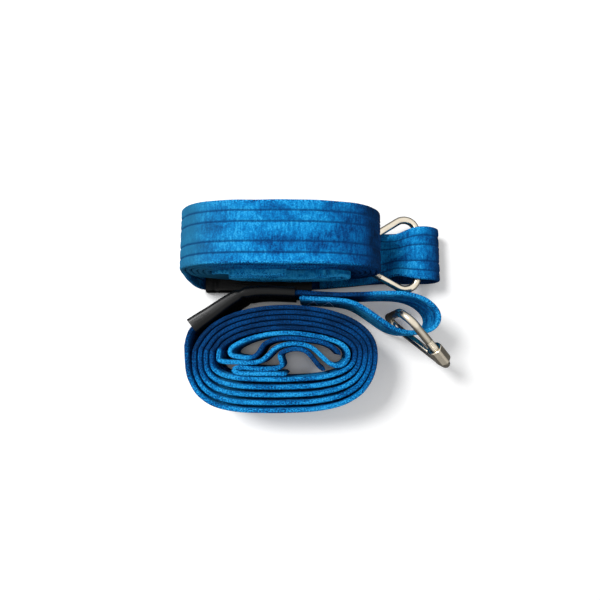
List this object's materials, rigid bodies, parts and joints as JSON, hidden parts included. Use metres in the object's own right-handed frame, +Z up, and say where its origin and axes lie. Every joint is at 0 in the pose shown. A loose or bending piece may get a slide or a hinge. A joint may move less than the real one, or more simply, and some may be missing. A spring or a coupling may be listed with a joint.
{
  "type": "aerial straps",
  "caption": "Pair of rolled aerial straps: velvet-covered webbing with a hand loop, a sewn rigging eye, a rubber sleeve and a steel delta screw link on each",
  "frame": {"origin": "on the floor plane, under the middle of the pair's footprint", "axes": "+Z up; +X along both coils towards the rigging eyes and links; +Y from the strap that stands on its edge to the one that lies on its broad side"},
  "size_m": [0.2068, 0.1582, 0.0884],
  "materials": {
    "velvet": "crushed velvet",
    "webbing": "flat woven",
    "thread": "twisted thread",
    "sleeve": "satin",
    "steel": "polished"
  },
  "bodies": {
    "front_strap": {"front_strap_velvet_cover": "velvet", "front_strap_webbing": "webbing", "front_tail_velvet_cover": "velvet", "front_tail_webbing": "webbing", "front_sleeve": "sleeve", "front_eye_stitching": "thread"},
    "front_link": {"front_link_body": "steel"},
    "front_nut": {"front_link_nut": "steel"},
    "rear_strap": {"rear_strap_velvet_cover": "velvet", "rear_strap_webbing": "webbing", "rear_tail_velvet_cover": "velvet", "rear_tail_webbing": "webbing", "rear_sleeve": "sleeve", "rear_eye_stitching": "thread"},
    "rear_link": {"rear_link_body": "steel"},
    "rear_nut": {"rear_link_nut": "steel"}
  },
  "joints": [
    {"name": "front_link_swing", "type": "hinge", "parent": "front_strap", "child": "front_link", "pos_m": [0.06026, -0.00492, 0.0325], "axis": [0, 0, 1], "range_deg": [-55, 0]},
    {"name": "front_nut_travel", "type": "slide", "parent": "front_link", "child": "front_nut", "axis": [-0.6166, 0.5954, 0.515], "range_m": [0, 0.0118]},
    {"name": "rear_strap_lift", "type": "slide", "parent": "front_strap", "child": "rear_strap", "axis": [0, 0, 1], "range_m": [0, 0.15]},
    {"name": "rear_link_swing", "type": "hinge", "parent": "rear_strap", "child": "rear_link", "pos_m": [0.08276, 0.04668, 0.02065], "axis": [0, -1, 0], "range_deg": [-0.9, 1.6]},
    {"name": "rear_nut_travel", "type": "slide", "parent": "rear_link", "child": "rear_nut", "axis": [0.8534, -0.515, 0.0807], "range_m": [0, 0.0118]}
  ]
}
